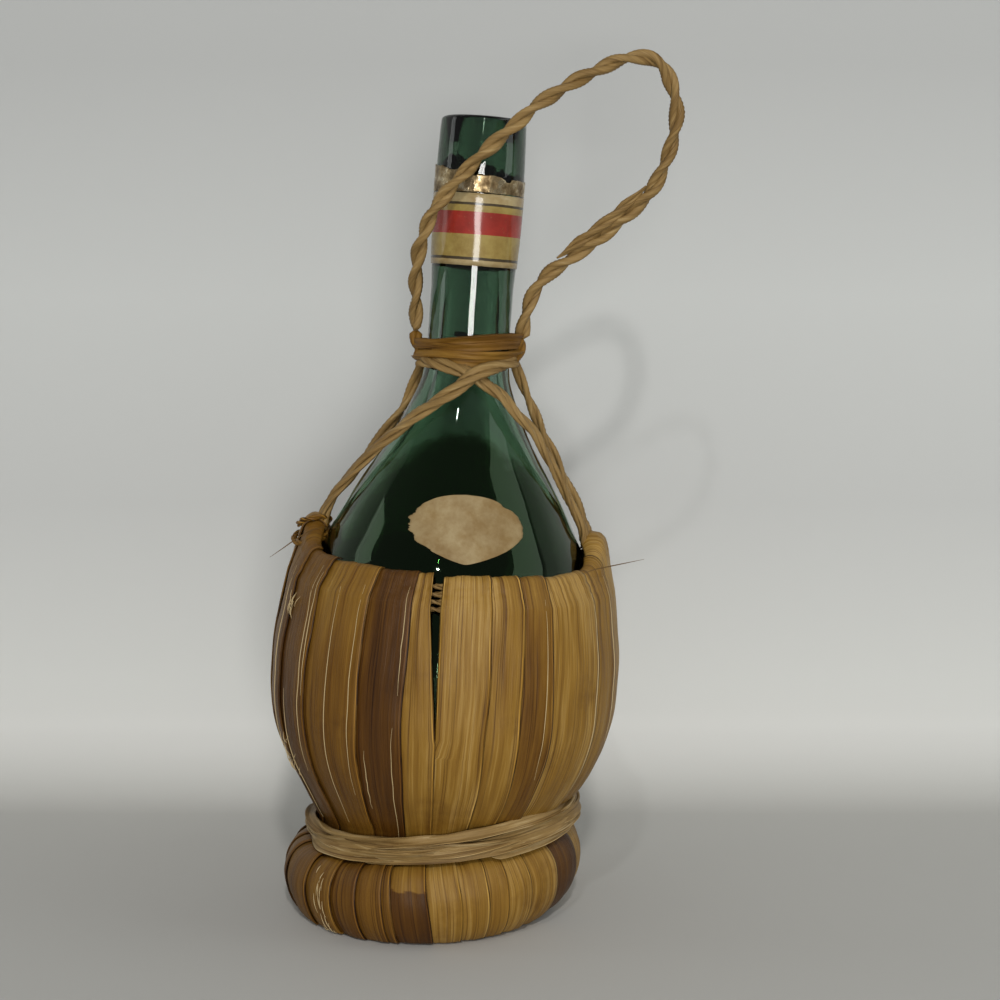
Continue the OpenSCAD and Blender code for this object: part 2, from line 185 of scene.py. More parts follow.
painted_light_sheet, tree = new_finish("pale_sheet_painted_light")
spots = add(tree, "TexCoord").outputs
height = add(tree, "SeparateXYZ", {0: spots["Object"]}).outputs["Z"]
# painted light and shade: the sheet is darker on the table, brightest a few cm up the wall and
# darker again towards its top
shades = ramp(tree, worked_out(tree, "MULTIPLY", height, 2.0), [
    (0, (0.5, 0.495, 0.475)), (0.012, (0.52, 0.52, 0.5)), (0.06, (0.67, 0.675, 0.66)),
    (0.1, (0.66, 0.67, 0.655)), (0.26, (0.545, 0.555, 0.55)), (0.44, (0.565, 0.58, 0.575)),
    (0.64, (0.46, 0.47, 0.468))])
pale = surface(tree, {"Base Color": shades, "Roughness": 0.8, "Specular IOR Level": 0.15})
back = add(tree, "NewGeometry").outputs["Backfacing"]
seen = add(tree, "LightPath").outputs["Is Camera Ray"]
clear = add(tree, "BsdfTransparent")
either = add(tree, "MixShader", {0: worked_out(tree, "MULTIPLY", back, seen),
                                 1: pale.outputs[0], 2: clear.outputs[0]})
wire(tree, tree.nodes["Material Output"], {"Surface": either.outputs[0]})
bm = bmesh.new()
lay_grid(bm, 240, 4, sheet_point)
bmesh.ops.reverse_faces(bm, faces=bm.faces)
backdrop = finish_piece(bm, "backdrop", painted_light_sheet, outwards=False)

# Rope handle
# A tall springy loop of raffia twisted from two plies. Its roots are tied in under the
# neck lashing, and one end is doubled back and spliced along the loop's lower run.
flask_lean = radians(4.2)
lean_height = 10


def leaned(x, y, z):
    """A point of the flask's own upright frame, in mm, as it stands on the table"""
    z -= lean_height
    return Vector((x * cos(flask_lean) + z * sin(flask_lean), y,
                   z * cos(flask_lean) - x * sin(flask_lean) + lean_height)) * 0.001


def smooth_route(points, step):
    """Points about every step metres along a smooth curve through the given ones"""
    fine, parts = [], 10
    for k in range(len(points) - 1):
        a, b, c, d = (points[min(max(k + j, 0), len(points) - 1)] for j in (-1, 0, 1, 2))
        for j in range(parts):
            t = j / parts
            fine.append(0.5 * (2 * b + (c - a) * t + (2 * a - 5 * b + 4 * c - d) * t * t
                               + (3 * b - a - 3 * c + d) * t ** 3))
    fine.append(points[-1].copy())
    return even_route(fine, step=step)


def laid_route(points, step=0.0006):
    """A smooth route through points of the flask's own frame, in mm"""
    return smooth_route([leaned(*point) for point in points], step)


def even_route(points, step=None, count=None):
    """The same line in equal steps, as many as count says or about as long as step"""
    gone = [0.0]
    for a, b in zip(points, points[1:]):
        gone.append(gone[-1] + (b - a).length)
    count = count or max(2, round(gone[-1] / step))
    route, k = [], 0
    for j in range(count + 1):
        s = gone[-1] * j / count
        while k < len(points) - 2 and gone[k + 1] < s:
            k += 1
        share = (s - gone[k]) / max(gone[k + 1] - gone[k], 1e-9)
        route.append(points[k].lerp(points[k + 1], min(max(share, 0), 1)))
    return route


def length_of(route):
    return sum((b - a).length for a, b in zip(route, route[1:]))


def heading(route, k):
    """The direction of a route at its point k"""
    return (route[min(k + 1, len(route) - 1)] - route[max(k - 1, 0)]).normalized()


def frames_along(route, facing=None):
    """Each point of a route with two directions square to it and to each other. The first
    is facing(point), or else turns as little as it can."""
    normal = Vector((0.13, 0.21, 1)).normalized()
    frames = []
    for k, point in enumerate(route):
        along = heading(route, k)
        if facing:
            normal = facing(point)
        normal = (normal - along * normal.dot(along)).normalized()
        frames.append((point, normal, along.cross(normal)))
    return frames


def close_ends(bm):
    """Closes the open ends of the cords and ribbons in bm"""
    bmesh.ops.holes_fill(bm, edges=[edge for edge in bm.edges if edge.is_boundary], sides=0)


def twisted_cord(bm, route, radius, plies, lay_length, seed, squeeze=1.0, facing=None,
                 tail=0.004, spread=0.0):
    """Two or three plies of raffia laid round each other along a route. Each has ridges
    where its ribbons fold and thins to nothing over the tail at both ends. Squeeze flattens
    the cord towards facing, and spread opens its start."""
    length = length_of(route)
    frames = frames_along(route, facing)
    ply_r = radius * (0.56 if plies == 2 else 0.5)
    out = radius - ply_r * 0.97
    spread_over = 0.009
    for ply in range(plies):
        def place(u, v):
            point, normal, across = frames[round(u * (len(frames) - 1))]
            s = u * length
            loose = 0.5 * noise.noise(Vector((s * 45, seed, ply)))
            swing = 2 * pi * (ply / plies + s / lay_length) + loose
            end = min(1, (0.15 + min(s, length - s) / tail)) if tail else 1
            angle = 2 * pi * v + swing * 1.4
            ridge = 0.1 * sin(5 * angle + 9 * ply) + 0.3 * noise.noise(
                Vector((1.7 * cos(angle), 1.7 * sin(angle), s * 60 + seed + 7 * ply)))
            end *= 1 + spread * exp(-s / spread_over)
            size = ply_r * end * (1 + ridge)
            a = out * end * cos(swing) + size * cos(angle)
            b = out * end * sin(swing) + size * sin(angle)
            return point + normal * a * squeeze + across * b
        lay_grid(bm, len(route) - 1, 12, place, lay=(length * 100, 2 * pi * ply_r * 100),
                 closed=True)
    close_ends(bm)


leaf_shades = [
    (0.0, (0.37, 0.225, 0.06)), (0.14, (0.255, 0.137, 0.021)), (0.35, (0.165, 0.077, 0.009)),
    (0.6, (0.085, 0.033, 0.0035)), (0.85, (0.042, 0.015, 0.002)), (1.0, (0.02, 0.007, 0.001))]
raffia_shades = [
    (0.0, (0.5, 0.38, 0.2)), (0.2, (0.29, 0.187, 0.068)), (0.5, (0.15, 0.083, 0.023)),
    (0.8, (0.055, 0.027, 0.007)), (1.0, (0.02, 0.009, 0.002))]


def speckle(tree, spots, scale, detail, roughness):
    """Noise that is fixed in the object's own space"""
    return add(tree, "TexNoise", {"Vector": spots["Object"], "Scale": scale, "Detail": detail,
                                  "Roughness": roughness}).outputs["Fac"]


def mixed(tree, under, over, share=1.0, kind="MULTIPLY"):
    """The colour under with a share of the colour over on it"""
    return add(tree, "Mix", {0: share, 6: under, 7: over}, data_type="RGBA",
               blend_type=kind).outputs[2]


def raised(tree, height, strength, distance):
    """Relief for the main shader"""
    return add(tree, "Bump", {"Height": height, "Strength": strength,
                              "Distance": distance}).outputs[0]


def fibre_finish(name, shades, rough=0.55, bump=0.35, stains=0.3, contrast=0.5, base=0.0,
                 along=0.2, across=9, painted_edges=False):
    """Dried leaf or raffia: tan to dark brown by each leaf's own tone, streaked along its
    fibres, paler by a share that holds real wear and a painted sheen, with age stains. With
    painted_edges, a dark line of painted lap shade, partly dirt, runs along the long edges, with a
    painted highlight line, partly pale edge fibres, beside it. UV x runs along the fibre and y
    across it, in cm."""
    material, tree = new_finish(name)
    spots = add(tree, "TexCoord").outputs
    own = add(tree, "Attribute", attribute_name="tone").outputs["Fac"]
    wear_and_sheen = add(tree, "Attribute", attribute_name="wear_and_sheen").outputs["Fac"]
    shift = add(tree, "CombineXYZ", {"Z": worked_out(tree, "MULTIPLY", own, 37.0)}).outputs[0]

    def along_fibres(scale, detail, roughness):
        """Noise drawn out along the fibres, another one for each tone"""
        drawn = add(tree, "Mapping", {"Vector": spots["UV"], "Scale": scale}).outputs[0]
        moved = add(tree, "VectorMath", {0: drawn, 1: shift}, operation="ADD").outputs[0]
        return add(tree, "TexNoise", {"Vector": moved, "Scale": 1.0, "Detail": detail,
                                      "Roughness": roughness}).outputs["Fac"]

    fine = along_fibres((along, across, 1), 6, 0.62)
    broad = along_fibres((0.1, 1.1, 1), 3, 0.62)
    both = worked_out(tree, "ADD", fine, broad)
    level = worked_out(tree, "MULTIPLY_ADD", both, contrast, base - contrast)
    toned = worked_out(tree, "ADD", level, own)
    # paler by a share that holds real wear and a painted sheen
    colour = ramp(tree, worked_out(tree, "SUBTRACT", toned, wear_and_sheen), shades)
    furrows = ramp(tree, along_fibres((0.09, 20, 1), 2, 0.5),
                   [(0.3, (0.42, 0.34, 0.26)), (0.42, (1, 1, 1))])
    stain = ramp(tree, speckle(tree, spots, 34, 5, 0.65),
                 [(0.56, (0, 0, 0)), (0.74, (stains, stains, stains))])
    colour = mixed(tree, mixed(tree, colour, furrows), (0.4, 0.27, 0.14, 1), stain)
    # painted lap shade, partly dirt, along both long edges, and a painted highlight line, partly
    # pale edge fibres, just inside it, here and there along the edge
    if painted_edges:
        reach = add(tree, "UVMap", uv_map="edges").outputs[0]
        split = add(tree, "SeparateXYZ", {0: reach}).outputs
        fibres = ramp(tree, worked_out(tree, "MINIMUM", split["X"], split["Y"]), [
            (0.0, (0.1, 0.08, 0.06)), (0.027, (0.12, 0.1, 0.08)), (0.04, (0.85, 0.87, 0.92)),
            (0.058, (0.9, 0.93, 1)), (0.08, (0.36, 0.34, 0.31)), (0.2, (0.5, 0.5, 0.5))])
        lap_shade_and_edge_highlight = add(tree, "VectorMath", {0: fibres, 1: (2, 2, 2)}, operation="MULTIPLY")
        there = ramp(tree, along_fibres((0.5, 0.0, 1), 4, 0.6),
                     [(0.4, (0.3, 0.3, 0.3)), (0.58, (1, 1, 1))])
        colour = mixed(tree, colour, lap_shade_and_edge_highlight.outputs[0], there)
    ridges = worked_out(tree, "MULTIPLY_ADD", broad, 0.6, fine)
    surface(tree, {"Base Color": colour, "Roughness": rough, "Specular IOR Level": 0.22,
                   "Normal": raised(tree, ridges, bump, 0.0006)})
    return material


def flat_strand(bm, route, width, facing, seed, twist=0.7, thick=0.0006, curl=0.18):
    """A folded raffia ribbon that lies along a route, turning a little as it goes"""
    length = length_of(route)
    frames = frames_along(route, facing)
    tail = 0.004

    def place(u, v):
        point, normal, across = frames[round(u * (len(frames) - 1))]
        s = u * length
        turn = twist * 1.7 * noise.noise(Vector((s * 26, seed, 0.3)))
        end = min(1, 0.2 + min(s, length - s) / tail)
        angle = 2 * pi * v
        wide = width / 2 * end * (1 + 0.25 * noise.noise(Vector((s * 50, seed, 5))))
        a = wide * cos(angle)
        b = thick * sin(angle) * (1 + 0.5 * cos(3 * angle))
        b += curl * width * (cos(angle) ** 2 - 0.5)
        b += thick * 0.8 * noise.noise(Vector((s * 90, a * 2500, seed)))
        return (point + across * (a * cos(turn) - b * sin(turn))
                + normal * (a * sin(turn) + b * cos(turn)))

    lay_grid(bm, len(route) - 1, 16, place, lay=(length * 100, width * 220), closed=True)
    close_ends(bm)


rope_finish = fibre_finish("rope_raffia", raffia_shades, rough=0.6, bump=0.5, contrast=0.75,
                           base=0.31, along=0.5, across=7)
handle_points = [
    (-19, 0, 208), (-19.2, -1, 213), (-19.6, -4, 220), (-20, -8, 228), (-19.3, -13, 236),
    (-17.5, -17, 243), (-15, -19.5, 250), (-11, -20.8, 256), (-6.5, -21.5, 262),
    (-1.5, -21.5, 268), (3.5, -21.5, 273.5), (9, -21, 279), (14.5, -21, 284.5),
    (20.5, -20, 290), (27, -19, 295), (34, -18, 299.5), (41, -17, 303.5), (48, -16, 306.5),
    (55, -15, 307), (60.5, -14, 304), (64, -13, 298), (66, -12, 291), (66, -11, 284),
    (65, -10, 277), (63, -9, 270), (60, -8, 263), (55, -7, 257), (49.5, -6, 251),
    (43, -5, 245), (36, -4, 239.5), (30, -3, 235), (25.5, -2.5, 230.5), (22, -2, 225),
    (20, -1, 218), (19.2, -0.5, 213), (19, 0, 208)]
handle_d = 0.0052
handle_route = laid_route(handle_points)
bm = bmesh.new()
twisted_cord(bm, handle_route, handle_d / 2, 2, 0.024, 3, tail=0.002)
handle = finish_piece(bm, "rope_handle", rope_finish)
length_of(handle_route)
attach(handle, "handle")
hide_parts("handle_rope")

splice_points = [
    (58, -9.2, 264.5), (53.5, -8.4, 259.5), (47.5, -7.4, 253.2), (41, -6.4, 247.2),
    (34.5, -5.4, 242), (29, -4.6, 237.5)]
bm = bmesh.new()
twisted_cord(bm, laid_route(splice_points), 0.0028, 3, 0.034, 11, squeeze=0.75, tail=0.012)
splice = finish_piece(bm, "handle_end", rope_finish)
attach(splice, "handle")
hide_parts("handle_splice")

# Stays
# Four slack raffia cords run from the basket's two ears up to the neck. The front pair, of
# three flattened plies, crosses on the shoulder; the outer pair, of two, follows the glass's
# outline and goes up the sides of the neck.
stay_routes = {
    "stay_left_front": [
        (-47.4, -1.7, 136), (-46.6, -3, 142), (-43, -5, 149.5), (-35.8, -9.5, 159),
        (-29, -12.5, 167), (-22, -14.8, 174), (-14.2, -18.2, 181), (-6, -21, 187.5),
        (0, -21.6, 192.5), (5.5, -20, 196.5), (10, -15.2, 198.5), (14, -9.5, 199.5),
        (16.3, -4.5, 200.8)],
    "stay_right_front": [
        (46.8, -1.7, 137.5), (45.6, -3, 143), (41, -5, 150.5), (36.2, -8.5, 159), (30.8, -11, 168),
        (25.2, -13.5, 176.5), (18.6, -16.2, 183), (12.5, -16.6, 188.8), (6.5, -17.8, 192.6),
        (0, -18, 195.8), (-7, -16, 197.6), (-13, -11.2, 198.3), (-16, -6, 198.6)],
    "stay_left_outer": [
        (-48.4, 1.7, 137), (-45.5, 4, 145), (-39.5, 6, 154), (-33.6, 8, 163), (-28, 9.5, 171),
        (-22.4, 10, 180), (-19.2, 9, 187.5), (-17.2, 7.5, 194), (-16.4, 6, 199),
        (-16.2, 5.5, 202)],
    "stay_right_outer": [
        (48, 1.7, 138), (46, 4, 145), (39.8, 6, 156), (33.8, 8, 167), (29, 9, 175),
        (25.4, 9.5, 182), (21.8, 8.6, 189), (19, 7.2, 195), (17, 6, 199.5), (16.4, 5.5, 202)]}


def off_the_shoulder(point):
    """Away from the flask and a little upwards"""
    return Vector((point.x - 0.012, point.y, 0.02))


for k, (name, points) in enumerate(stay_routes.items()):
    radius, plies, squeeze = (0.003, 3, 0.55) if name.endswith("front") else (0.0027, 2, 0.7)
    bm = bmesh.new()
    twisted_cord(bm, laid_route(points), radius, plies, 0.046 - 0.004 * k, 20 + 5 * k,
                 squeeze=squeeze, facing=off_the_shoulder, tail=0, spread=0.3)
    stay = finish_piece(bm, name + "_cord", rope_finish)
    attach(stay, "root")
    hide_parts(name)

# Neck lashing
# Two turns of two flat raffia ribbons bind the tops of the stays and the roots of the
# handle to the glass neck.
lash_turns, lash_steps, lash_start, lash_low, lash_pitch, neck_r = 2, 96, 210, 198.6, 5.0, 14.6


def round_the_flask(azimuth, r, z):
    """A point on a circle about the flask, from the front towards the right"""
    return leaned(r * sin(azimuth), -r * cos(azimuth), z)


def away_from_flask(point):
    """The level direction from the flask's axis to a point"""
    axis = leaned(0, 0, 0) + (leaned(0, 0, 1) - leaned(0, 0, 0)) * (point.z * 1000)
    return (point - Vector((axis.x, axis.y, point.z))).normalized()


def lash_spot(k, strand):
    """Step k of a ribbon round the neck, which stands out over the handle's two roots"""
    azimuth = lash_start + 360 * k / lash_steps
    off_root = min(abs((azimuth + 90) % 360 - 180), abs((azimuth - 90) % 360 - 180))
    sway = 2.1 * noise.noise(Vector((k * 0.03, 3 + 5 * strand, 0)))
    return round_the_flask(radians(azimuth),
                           neck_r + 1.3 + 0.6 * strand + 2.4 * exp(-(off_root / 24) ** 2),
                           lash_low - 1.4 + 2.5 * strand + lash_pitch * k / lash_steps + sway)


bm = bmesh.new()
for strand in range(2):
    ribbon = [lash_spot(k, strand) for k in range(lash_turns * lash_steps + 1)]
    flat_strand(bm, ribbon, 0.0031, away_from_flask, 41 + 6 * strand, twist=0.9, thick=0.0007,
                curl=0.24)
for side in (-1, 1):
    root = [(side * 19, 0, 209), (side * 18.6, -0.6, 205), (side * 17.2, -1.6, 201.5),
            (side * 16.4, -2.4, 197.5)]
    twisted_cord(bm, laid_route(root, step=0.0005), 0.0023, 2, 0.02, 47, tail=0.002)
lash_finish = fibre_finish("lashing_raffia", leaf_shades, bump=0.5, contrast=0.7, base=0.34,
                           along=0.5, across=7)
lashing = finish_piece(bm, "neck_binding", lash_finish)
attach(lashing, "root")
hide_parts("neck_lashing")

# Glass flask
# Blown in one piece of dark green glass: a thin round belly, a sloping shoulder and a
# long neck with a plain rolled lip. The surface waves a little and is dusty, and shade is
# painted into the lower glass.
glass_top, belly_r, belly_low, belly_high = 284, 60.7, 86, 92
shoulder_degrees, base_degrees, inner_base_degrees = 32.3, 74.7, 72
shoulder = radians(shoulder_degrees)
full_low, full_high, fullness = 130, 192, 3.0
neck_z, neck_bow, swell_z, swell_span, glass_swell = 207, 84.7, 225, 65, 1.1
wall_t, bore_r, base_flat, base_t, lip_r = 3.2, 9.3, 16, 5, 1.6
cone_z = belly_high + belly_r * sin(shoulder)
cone_r = belly_r * cos(shoulder)
bow_z = neck_z - neck_bow * sin(shoulder)


def glass_r(z):
    """The glass's outer radius at a height along its own axis, in mm"""
    fuller = fullness * sin(pi * max(0, min(1, (z - full_low) / (full_high - full_low))))
    if z < belly_low:
        return sqrt(max(0, belly_r ** 2 - (belly_low - z) ** 2))
    if z < belly_high:
        return belly_r
    if z < cone_z:
        return sqrt(belly_r ** 2 - (z - belly_high) ** 2)
    if z < bow_z:
        return cone_r - tan(shoulder) * (z - cone_z) + fuller
    if z < neck_z:
        return neck_r + neck_bow - sqrt(neck_bow ** 2 - (neck_z - z) ** 2) + fuller
    if z < swell_z:
        return neck_r
    return neck_r + glass_swell * sin(pi * (z - swell_z) / swell_span)


def glass_slope(z):
    """How far the glass leans inwards at a height, from the belly to the shoulder"""
    return asin((z - belly_high) / belly_r) if z < cone_z else shoulder


def arc(r, z, radius, a, b, n):
    """n steps of a circle about (r, z), from a to b degrees up from its outermost point"""
    angles = [radians(a + (b - a) * k / n) for k in range(n + 1)]
    return [(r + radius * cos(angle), z + radius * sin(angle)) for angle in angles]


def spun(bm, profile, steps):
    """A profile of radius and height in mm, spun about the flask's axis"""
    chain = [bm.verts.new((r, 0, z)) for r, z in profile]
    edges = [bm.edges.new(pair) for pair in zip(chain, chain[1:])]
    bmesh.ops.spin(bm, geom=chain + edges, cent=(0, 0, 0), axis=(0, 0, 1), dvec=(0, 0, 0),
                   angle=2 * pi, steps=steps, use_merge=True, use_duplicate=False)
    bmesh.ops.remove_doubles(bm, verts=bm.verts, dist=1e-4)
    for face in bm.faces:
        face.smooth = True


glass_finish, tree = new_finish("green_glass")
spots = add(tree, "TexCoord").outputs
# painted shade: the lower glass is painted much darker, with dimmer and greener reflections, up to
# a line that is highest in the middle and a little ragged; above it the glass keeps its own green
# tint
spot = add(tree, "SeparateXYZ", {0: spots["Object"]}).outputs
aside = worked_out(tree, "SUBTRACT", spot["X"], 0.0105)
domed = worked_out(tree, "MULTIPLY_ADD", worked_out(tree, "POWER", aside, 2.0), 21.0, spot["Z"])
ragged = worked_out(tree, "MULTIPLY_ADD", speckle(tree, spots, 90, 5, 0.7), 0.017, domed)
tall = worked_out(tree, "MULTIPLY", ragged, 3.0)
tint_and_painted_shade = ramp(tree, tall, [(0.537, (0.06, 0.14, 0.05)), (0.545, (0.42, 0.6, 0.46)),
                         (0.61, (0.46, 0.62, 0.52))])
gleam_and_painted_shade = ramp(tree, tall, [(0.537, (0.5, 0.8, 0.46)), (0.569, (0.75, 0.92, 0.78)),
                          (0.63, (1, 1, 1))])
dust = ramp(tree, speckle(tree, spots, 240, 6, 0.75),
            [(0.45, (0.008, 0.008, 0.008)), (0.8, (0.07, 0.07, 0.07))])
surface(tree, {"Transmission Weight": 1.0, "IOR": 1.5, "Base Color": tint_and_painted_shade,
               "Specular Tint": gleam_and_painted_shade, "Roughness": dust,
               "Normal": raised(tree, speckle(tree, spots, 30, 2, 0.45), 0.32, 0.002)})
body = add(tree, "VolumeAbsorption", {"Color": (0.35, 0.48, 0.37, 1), "Density": 200})
wire(tree, tree.nodes["Material Output"], {"Volume": body.outputs[0]})

inner_r, throat_z, lip_z = belly_r - wall_t, bow_z + 26, glass_top - lip_r
outside = [(0, belly_low - sqrt(belly_r ** 2 - base_flat ** 2))]
outside += arc(0, belly_low, belly_r, -base_degrees, 0, 30)
outside += arc(0, belly_high, belly_r, 0, shoulder_degrees, 14)
outside += [(glass_r(z), z) for z in (cone_z + (neck_z - cone_z) * k / 40 for k in range(1, 41))]
outside += [(glass_r(z), z) for z in (swell_z + 3.5 * k for k in range(17))]
outside += arc(glass_r(lip_z) - lip_r, lip_z, lip_r, 5, 90, 8) + [(bore_r + 0.4, glass_top)]
inside = [(bore_r, glass_top - 0.2), (bore_r, 255), (bore_r, neck_z - 3)]
for k in range(24, 0, -1):
    z = cone_z + (throat_z - cone_z) * k / 24
    inside.append((max(bore_r, glass_r(z) - wall_t * (1.1 + 0.3 * k / 24)), z))
inside += arc(0, belly_high, inner_r, shoulder_degrees, 0, 14)
inside += arc(0, belly_low, inner_r, 0, -inner_base_degrees, 24)
inside += [(0, belly_low - inner_r + base_t - wall_t)]
bm = bmesh.new()
spun(bm, outside + inside, 192)
for point in bm.verts:
    point.co = leaned(*point.co)
glass = finish_piece(bm, "green_flask", glass_finish)
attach(glass, "root")
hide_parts("glass_bottle")

# Capsule remnant
# What is left of the foil capsule: a thin gilt band above the neck label, crinkled
# and tarnished, torn off along its upper edge.
foil_low, foil_torn, foil_high = 257.7, 264.9, 267.4
foil_finish, tree = new_finish("gilt_foil")
wear = speckle(tree, add(tree, "TexCoord").outputs, 260, 5, 0.6)
shades = ramp(tree, wear, [(0.34, (0.1, 0.062, 0.026)), (0.5, (0.3, 0.22, 0.115)),
                           (0.68, (0.64, 0.55, 0.38))])
tarnish = ramp(tree, wear, [(0.35, (0.5, 0.5, 0.5)), (0.58, (0.2, 0.2, 0.2))])
surface(tree, {"Metallic": 0.85, "Base Color": shades, "Roughness": tarnish,
               "Normal": raised(tree, wear, 0.7, 0.0006)})


def foil_point(u, v):
    """Round the neck and up to the torn edge, with crinkles"""
    azimuth = 2 * pi * u
    about = Vector((cos(azimuth), sin(azimuth), 0))
    torn = foil_torn - 2.3 * sin(azimuth + 0.4) + 0.9 * noise.noise(about * 2.6)
    torn += 0.3 * noise.noise(about * 9 + Vector((0, 0, 4)))
    torn -= 0.9 if noise.noise(about * 4) > 0.22 else 0
    z = foil_low + (min(torn, foil_high) - foil_low) * v
    crinkle = 0.5 + 0.5 * noise.noise(Vector((6 * about.x, 6 * about.y, z * 0.25)))
    return round_the_flask(azimuth, glass_r(z) + 0.1 + 0.3 * crinkle + 0.1 * v, z)


def thicken(piece, thickness):
    """Gives a piece that is modelled as one skin its thickness, in metres"""
    skin = piece.modifiers.new("thickness", "SOLIDIFY")
    skin.thickness, skin.offset = thickness, 0


bm = bmesh.new()
lay_grid(bm, 180, 12, foil_point, lay=(9, 1), closed=True)
foil = finish_piece(bm, "capsule_foil_band", foil_finish)
thicken(foil, 0.00008)
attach(foil, "root")
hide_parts("neck_foil")

# Neck label
# A printed paper band glued round the neck: cream borders, a thin dark line along
# each, two ochre bands and a wide red one between them, all scuffed and yellowed.
band_low, band_high, paper_t = 232.6, 257.4, 0.00015


def paper_finish(name, colour_of, stained, gloss=0.0):
    """Paper in the colours that colour_of gives, with stains, grain and perhaps a varnish"""
    material, tree = new_finish(name)
    spots = add(tree, "TexCoord").outputs
    age = speckle(tree, spots, 130, 6, 0.65)
    marks = ramp(tree, age, [(0.38, stained), (0.62, (1, 1, 1))])
    surface(tree, {"Base Color": mixed(tree, colour_of(tree, spots), marks), "Roughness": 0.6,
                   "Specular IOR Level": 0.3, "Coat Weight": gloss, "Coat Roughness": 0.12,
                   "Normal": raised(tree, age, 0.35, 0.0003)})
    return material


def band_colours(tree, spots):
    """Colours by height up the band, which UV y holds from 0 to 1, with bare scuffs"""
    height = add(tree, "SeparateXYZ", {0: spots["UV"]}).outputs["Y"]
    cream, line = (0.38, 0.3, 0.15), (0.05, 0.035, 0.015)
    ochre, red = (0.31, 0.228, 0.062), (0.29, 0.018, 0.009)
    bands = ramp(tree, height, [(0, cream), (0.075, line), (0.115, ochre), (0.43, red),
                                (0.745, ochre), (0.835, line), (0.87, cream)], "CONSTANT")
    bare = ramp(tree, speckle(tree, spots, 700, 5, 0.8), [(0.62, (0, 0, 0)), (0.72, (1, 1, 1))])
    return mixed(tree, bands, (*cream, 1), bare, "MIX")


def band_point(u, v):
    """Round the neck and up the band, whose two edges aren't quite straight"""
    azimuth = 2 * pi * u
    z = band_low + (band_high - band_low) * v
    ripple = 0.07 * noise.noise(Vector((4 * cos(azimuth), 4 * sin(azimuth), z * 0.12)))
    edge = 0.2 * noise.noise(Vector((8 * cos(azimuth), 8 * sin(azimuth), 3))) * (2 * v - 1)
    inwards = min(0, edge) if v > 0.5 else max(0, edge) if v < 0.5 else 0
    return round_the_flask(azimuth, glass_r(z) + 0.24 + ripple, z + inwards)


bm = bmesh.new()
lay_grid(bm, 144, 16, band_point, closed=True)
band_finish = paper_finish("printed_paper", band_colours, (0.72, 0.63, 0.5), 0.7)
neck_band = finish_piece(bm, "neck_paper_band", band_finish)
thicken(neck_band, paper_t)
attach(neck_band, "root")
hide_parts("neck_label")

# Shoulder label
# An oval of cream paper with a pointed foot, glued on the front of the shoulder. Its
# left edge is torn ragged, and a nick is missing at the upper right.
label_az, label_half_w, label_top, label_side, label_foot = radians(6), 20, 155, 143, 132.8
nick_z = 151.5


def label_edge(z, side):
    """How far the label reaches to one side at a height, in mm"""
    if z >= label_side:
        share = (z - label_side) / (label_top - label_side)
        reach = label_half_w * sqrt(max(0, 1 - share ** 2))
    else:
        share = (label_side - z) / (label_side - label_foot + 0.1)
        reach = label_half_w * max(0, 1 - share ** 1.8) ** 0.85
    if side < 0:
        torn = 1.1 + 2.4 * noise.noise(Vector((z * 0.55, 2, 0)))
        torn += 0.9 * noise.noise(Vector((z * 2.3, 5, 0)))
        reach -= max(0, torn) * exp(-((z - label_side) / 8) ** 2)
    else:
        reach -= 1.5 * exp(-((z - nick_z) / 0.8) ** 2)
        reach += 0.35 * noise.noise(Vector((z * 0.9, 8, 0)))
    return side * max(reach, 0.05)


def label_point(u, v):
    """Across and up the label, which lies on the glass"""
    z = label_foot + (label_top - label_foot) * v
    left, right = label_edge(z, -1), label_edge(z, 1)
    x = left + (right - left) * u
    lift = 0.24 + 0.05 * noise.noise(Vector((x * 0.3, z * 0.3, 1)))
    slope = glass_slope(z)
    return round_the_flask(label_az + asin(x / glass_r(z)), glass_r(z) + lift * cos(slope),
                           z + lift * sin(slope))


def old_paper(tree, spots):
    """Cream paper, browned in patches"""
    return ramp(tree, speckle(tree, spots, 48, 4, 0.6), [
        (0.35, (0.235, 0.165, 0.077)), (0.5, (0.285, 0.208, 0.1)), (0.66, (0.335, 0.255, 0.13))])


bm = bmesh.new()
lay_grid(bm, 56, 72, label_point, lay=(4, 2.2))
label_finish = paper_finish("aged_paper", old_paper, (0.72, 0.62, 0.46))
shoulder_label = finish_piece(bm, "shoulder_paper_oval", label_finish, outwards=False)
thicken(shoulder_label, paper_t)
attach(shoulder_label, "root")
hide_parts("shoulder_label")

# Rim hoop
# Four turns of twisted straw wound round the top of the belly. The leaves fold over
# it, so it shows only in the slit at the front and from inside the rim.
hoop_finish = fibre_finish("hoop_straw", raffia_shades, rough=0.6, bump=0.5, base=0.3,
                           along=0.5, across=7)
hoop_turns, hoop_steps, hoop_low, hoop_high, strand_r = 4, 160, 117, 126.1, 1.05
hoop_lift = strand_r + 0.6


def hoop_at(z):
    """The middle of the straw that lies on the glass at a height, as radius and height"""
    return glass_r(z) + hoop_lift * cos(glass_slope(z)), z + hoop_lift * sin(glass_slope(z))


hoop_route = []
for k in range(hoop_turns * hoop_steps + 1):
    r, z = hoop_at(hoop_low + (hoop_high - hoop_low) * k / (hoop_turns * hoop_steps))
    hoop_route.append(round_the_flask(pi + 2 * pi * k / hoop_steps, r, z))
bm = bmesh.new()
twisted_cord(bm, hoop_route, strand_r * 0.0011, 2, 0.011, 61, tail=0.003)
hoop = finish_piece(bm, "straw_hoop", hoop_finish)
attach(hoop, "root")
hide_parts("rim_hoop")

